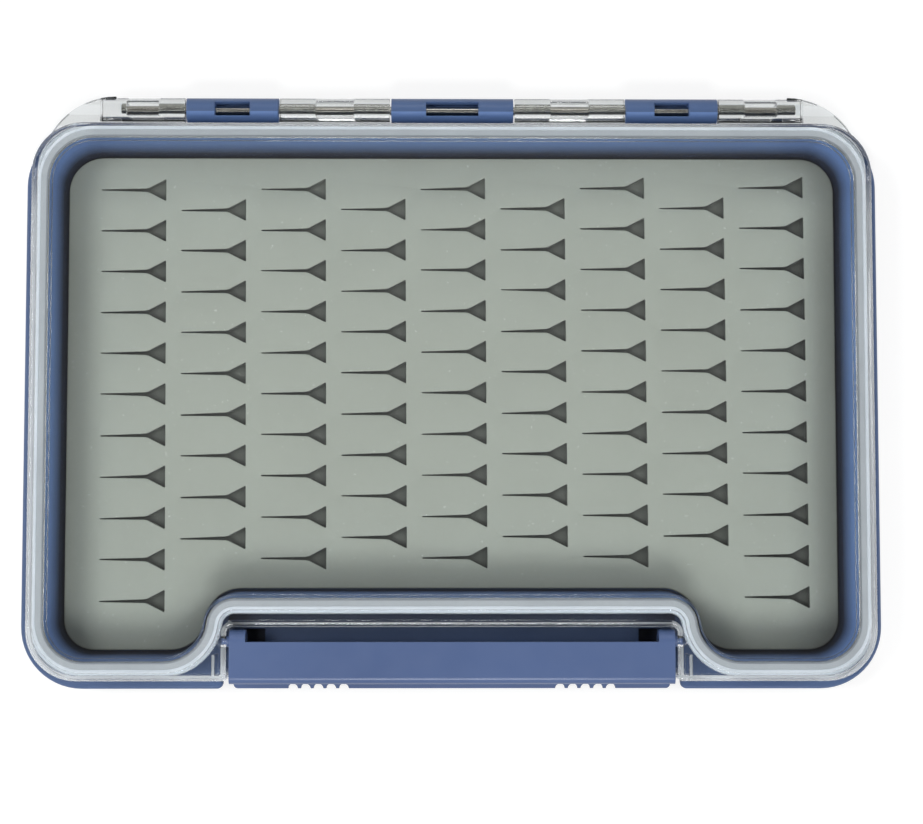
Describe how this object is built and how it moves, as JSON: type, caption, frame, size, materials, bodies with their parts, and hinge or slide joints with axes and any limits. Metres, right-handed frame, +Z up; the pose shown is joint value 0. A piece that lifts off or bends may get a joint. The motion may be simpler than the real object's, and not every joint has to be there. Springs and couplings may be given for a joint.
{
  "type": "fly box",
  "caption": "Slim waterproof fly box: clear hinged lid with seal and lever latch over a blue tray that holds a slit silicone fly insert.",
  "frame": {"origin": "centre of the underside of the closed box's overall extent", "axes": "+X along the width, +Y towards the hinge, +Z up through the lid"},
  "size_m": [0.195, 0.135, 0.021],
  "materials": {
    "blue_plastic": "semi-gloss moulded ABS",
    "latch_plastic": "semi-gloss moulded ABS",
    "adhesive_film": "thin pressure-sensitive film",
    "grey_silicone": "matt silicone",
    "stainless_pin": "drawn stainless steel",
    "clear_plastic": "clear polycarbonate",
    "seal_silicone": "translucent silicone"
  },
  "bodies": {
    "tray": {"base_tray": "blue_plastic", "insert_adhesive": "adhesive_film", "silicone_insert": "grey_silicone", "hinge_pin": "stainless_pin"},
    "lid": {"lid_cover": "clear_plastic", "lid_gasket": "seal_silicone"},
    "latch": {"latch_lever": "latch_plastic"}
  },
  "joints": [
    {"name": "lid_hinge", "type": "hinge", "parent": "tray", "child": "lid", "pos_m": [0, 0.0647, 0.0105], "axis": [-1, 0, 0], "range_deg": [0, 180]},
    {"name": "latch_hinge", "type": "hinge", "parent": "lid", "child": "latch", "pos_m": [0, -0.0565, 0.0184], "axis": [-1, 0, 0], "range_deg": [0, 100]}
  ]
}
